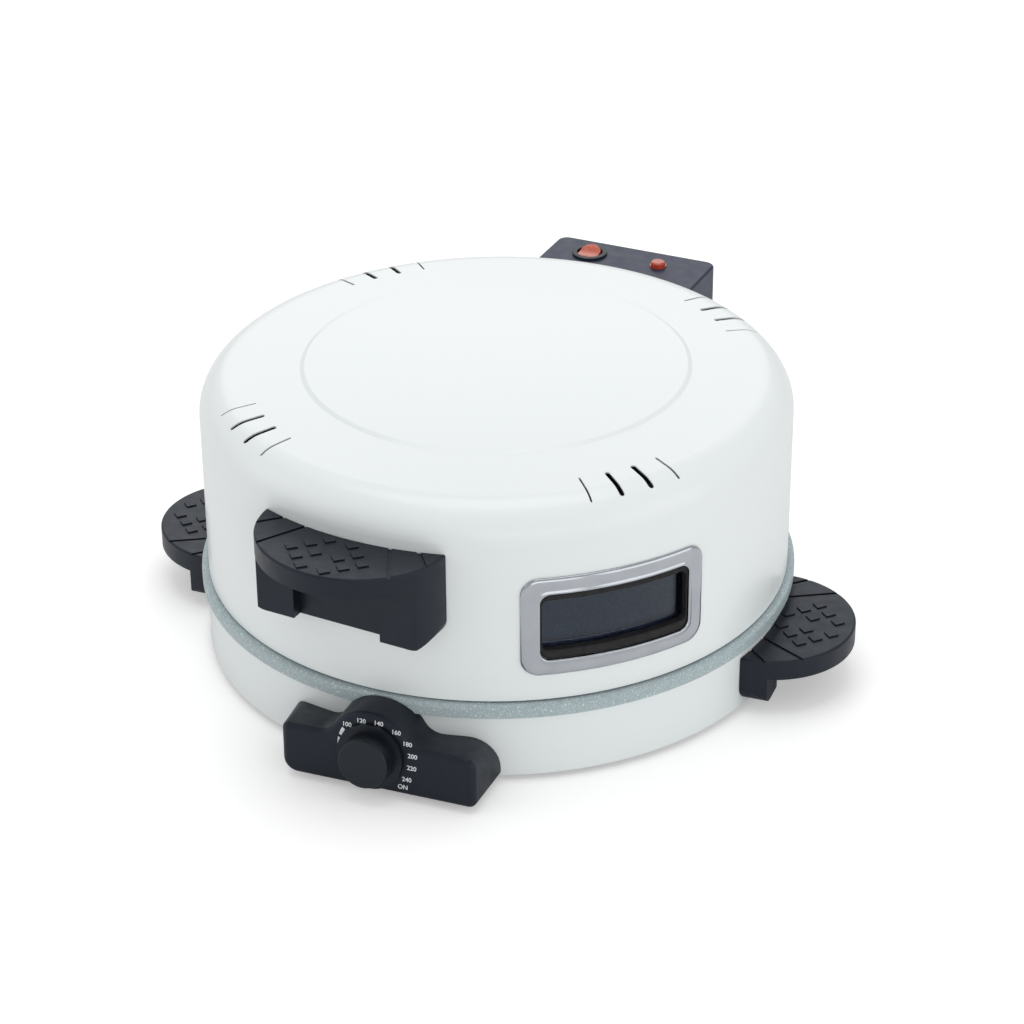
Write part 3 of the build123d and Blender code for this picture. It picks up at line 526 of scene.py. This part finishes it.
def add_piece(name, points, faces, slot, body, sharp):
    """Makes a clean mesh, shades it smooth apart from its sharp edges, and lets it ride on a body."""
    mesh = bpy.data.meshes.new(name)
    mesh.from_pydata(points, [], faces)
    shape = bmesh.new()
    shape.from_mesh(mesh)
    bmesh.ops.remove_doubles(shape, verts=shape.verts, dist=WELD)
    bmesh.ops.recalc_face_normals(shape, faces=shape.faces)
    shape.to_mesh(mesh)
    shape.free()
    mesh.shade_smooth()
    mesh.set_sharp_from_angle(angle=math.radians(sharp))
    mesh.materials.append(materials[slot])
    obj = put(name, mesh, Matrix())
    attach(obj, body)
    return obj


def round_rectangle(width, height, corner):
    """Points round a rectangle with rounded corners, always as many in the same order."""
    points = []
    for quarter, (side_x, side_y) in enumerate(((1, 1), (-1, 1), (-1, -1), (1, -1))):
        centre_x, centre_y = side_x * (width / 2 - corner), side_y * (height / 2 - corner)
        for step in range(CORNER_STEPS + 1):
            a = math.radians(90 * quarter + 90 * step / CORNER_STEPS)
            points.append((centre_x + corner * math.cos(a), centre_y + corner * math.sin(a)))
    closed = []
    for here, point in enumerate(points):
        closed.append(point)
        if here % (CORNER_STEPS + 1) == CORNER_STEPS:
            after = points[(here + 1) % len(points)]
            for step in range(1, SIDE_STEPS):
                closed.append(tuple(between(ends, step / SIDE_STEPS) for ends in zip(point, after)))
    return closed


def window_ring(name, inside, outside, section, slot, inside_rise=0):
    """A ring round the window that follows the lid's wall, with its inside outline raised by inside_rise."""
    a = math.radians(WINDOW_TURN)
    across = Vector((math.cos(a), math.sin(a), 0))
    out = Vector((math.sin(a), -math.cos(a), 0))
    inner, outer = round_rectangle(*inside), round_rectangle(*outside)
    points = []
    for (inner_x, inner_y), (outer_x, outer_y) in zip(inner, outer):
        for share, lift in section:
            x = between((inner_x, outer_x), share)
            y = between((inner_y, outer_y), share) + inside_rise * (1 - share)
            reach = math.sqrt((lid_radius + lift) ** 2 - x ** 2)
            points.append(across * x + out * reach + UP * (WINDOW_MIDDLE + y))
    faces = loop_faces(len(inner), len(section), closed=True)
    return add_piece(name, points, faces, slot, "lid", TRIM_SHARP)


def arc_points(centre_x, centre_y, radius, start, end, steps=ARC_STEPS):
    """Points along an arc from one angle to another, counted anticlockwise from the right."""
    points = []
    for step in range(steps + 1):
        a = math.radians(start + (end - start) * step / steps)
        points.append(Vector((centre_x + radius * math.cos(a), centre_y + radius * math.sin(a))))
    return points


def panel_outline(span, top, corners, hump):
    """Points round the panel, anticlockwise from the low left corner, always as many in the same order."""
    left, right = span
    top_left, top_right, low_left, low_right = corners
    hollow_middle = top + HUMP_HOLLOW
    rise = hollow_middle - HUMP_MIDDLE
    side = math.sqrt((hump + HUMP_HOLLOW) ** 2 - rise ** 2)
    slope = math.degrees(math.atan2(rise, side))
    points = arc_points(left + low_left, PANEL_UNDERSIDE + low_left, low_left, 180, 270)
    points += arc_points(right - low_right, PANEL_UNDERSIDE + low_right, low_right, 270, 360)
    points += arc_points(right - top_right, top - top_right, top_right, 0, 90)
    points += arc_points(side, hollow_middle, HUMP_HOLLOW, 270, 180 + slope)
    points += arc_points(0, HUMP_MIDDLE, hump, slope, 180 - slope, HUMP_STEPS)[1:-1]
    points += arc_points(-side, hollow_middle, HUMP_HOLLOW, -slope, -90)
    points += arc_points(left + top_left, top - top_left, top_left, 90, 180)
    return points


def wall_share(back, front):
    """How far along the line from back to front it leaves the base's wall, or higher up the plate's rim."""
    radius = base_radius if back.z < RIM_FOOT else rim_radius
    run = (front - back).xy
    a = run.dot(run)
    b = 2 * back.xy.dot(run)
    c = back.xy.dot(back.xy) - radius ** 2
    return (-b + math.sqrt(b * b - 4 * a * c)) / (2 * a)


def control_panel():
    """A bar that is taller at its leaning face than at the wall, and a little less wide, with soft edges."""
    foot = dial_centre - dial_up * DIAL_HEIGHT
    level_out = Vector((dial_out.x, dial_out.y, 0)).normalized()
    back_foot = level_out * PANEL_BACK_REACH + UP * foot.z
    face = [Vector((p.x + FACE_SHEAR * p.y, FACE_SQUEEZE * p.y)) for p in panel_outline(**PANEL_FRONT)]
    fronts, backs, inwards = [], [], []
    for here, (near, far) in enumerate(zip(face, panel_outline(**PANEL_BACK))):
        fronts.append(foot + dial_right * near.x + dial_up * near.y)
        backs.append(back_foot + dial_right * far.x + UP * far.y)
        along = (face[(here + 1) % len(face)] - face[here - 1]).normalized()
        inwards.append(dial_right * -along.y + dial_up * along.x)
    edge_share = PANEL_EDGE / (foot.xy.length - PANEL_BACK_REACH)
    loops = [[back.lerp(front, wall_share(back, front)) for back, front in zip(backs, fronts)]]
    loops.append([back.lerp(front, 1 - edge_share) for back, front in zip(backs, fronts)])
    for step in range(1, EDGE_STEPS + 1):
        a = math.radians(90 * step / EDGE_STEPS)
        share = 1 - edge_share * (1 - math.sin(a))
        inset = PANEL_EDGE * (1 - math.cos(a))
        lines = zip(backs, fronts, inwards)
        loops.append([back.lerp(front, share) + inward * inset for back, front, inward in lines])
    points = [point for loop in loops for point in loop]
    count = len(face)
    back_cap = tuple(range(count))
    face_cap = tuple(reversed(range(len(points) - count, len(points))))
    faces = [back_cap, face_cap] + loop_faces(len(loops), count, closed=False)
    return add_piece("panel_moulding", points, faces, "dark_plastic", "base", PANEL_SHARP)


# The studio

def make_floor():
    """A pale floor just under the feet."""
    corners = [(-1, -1), (1, -1), (1, 1), (-1, 1)]
    mesh = bpy.data.meshes.new("floor")
    mesh.from_pydata([(x * FLOOR_REACH, y * FLOOR_REACH, 0) for x, y in corners], [], [(0, 1, 2, 3)])
    mesh.materials.append(pale_floor())
    floor = put("floor", mesh, Matrix.Translation((0, 0, cad_box[0][2] - FLOOR_DROP)))


def make_sky():
    """A plain white world, at full strength only where the camera sees it."""
    world = bpy.data.worlds.new("studio")
    scene.world = world
    world.use_nodes = True
    tree = world.node_tree
    background = tree.nodes["Background"].inputs
    background["Color"].default_value = WHITE
    path = tree.nodes.new("ShaderNodeLightPath")
    level = tree.nodes.new("ShaderNodeMapRange")
    level.inputs["To Min"].default_value = SKY_LIGHT
    level.inputs["To Max"].default_value = SKY_SEEN
    tree.links.new(path.outputs["Is Camera Ray"], level.inputs["Value"])
    tree.links.new(level.outputs["Result"], background["Strength"])


def soft_light(name, place, aim_height, size, power):
    """A rectangular studio lamp that faces the drum's axis."""
    data = bpy.data.lights.new(name, "AREA")
    data.shape = "RECTANGLE"
    data.size, data.size_y = size
    data.energy = power
    light = bpy.data.objects.new(name, data)
    light.location = place
    light.rotation_mode = "QUATERNION"
    light.rotation_quaternion = (UP * aim_height - Vector(place)).to_track_quat("-Z", "Y")
    scene.collection.objects.link(light)


make_camera()

# Each CAD node gets the material of its slot in the record

materials = {
    "off_white_enamel": enamel(),
    "speckled_coating": speckled_coating(),
    "bright_sheet": bright_sheet(),
    "plated_steel": plated_steel(),
    "element_sheath": element_sheath(),
    "dark_plastic": moulded("dark_plastic", srgb(16, 20, 29), srgb(23, 27, 37), 0.36, 0.46),
    "housing_plastic": moulded("housing_plastic", srgb(32, 37, 60), srgb(40, 45, 68), 0.34, 0.44),
    "black_plastic": moulded("black_plastic", srgb(21, 24, 29), srgb(29, 32, 37), 0.28, 0.42, 0.00002),
    "window_metal": window_metal(),
    "tinted_glass": tinted_glass(),
    "lamp_red": red_lens(),
    "rocker_red": red_rocker(),
    "white_ceramic": ceramic(),
    "foot_rubber": rubber(),
}
for piece in frame["record"]["subparts"]:
    data = frame["nodes"][piece["node"]].data
    data.materials.clear()
    data.materials.append(materials[piece["material_slot"]])

# The print goes on the dial

white_print = printed_white()
for text, (angle, radius) in NUMERALS.items():
    numeral(text, angle, radius)
for name, (angles, radii, widths) in MARKS.items():
    dial_mark(name, angles, radii, widths)

# The polished frame and the panel stand for CAD nodes, and the black seal lines the frame, its black partly
# painted shade for the dark recess behind the frame

bezel = window_ring("window_bezel", FRAME_INSIDE, FRAME_OUTSIDE, FRAME_SECTION, "window_metal")
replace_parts(bezel, "window_frame")
window_ring("window_seal_and_shade", SEAL_AND_SHADE_INSIDE, SEAL_AND_SHADE_OUTSIDE, SEAL_AND_SHADE_SECTION, "foot_rubber", SEAL_AND_SHADE_INSIDE_RISE)
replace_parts(control_panel(), "control_panel")

# The floor, the sky and the lamps make the studio

make_floor()
make_sky()
for name, (place, aim_height, size, power) in LIGHTS.items():
    soft_light(name, place, aim_height, size, power)
scene.view_settings.view_transform = "Standard"
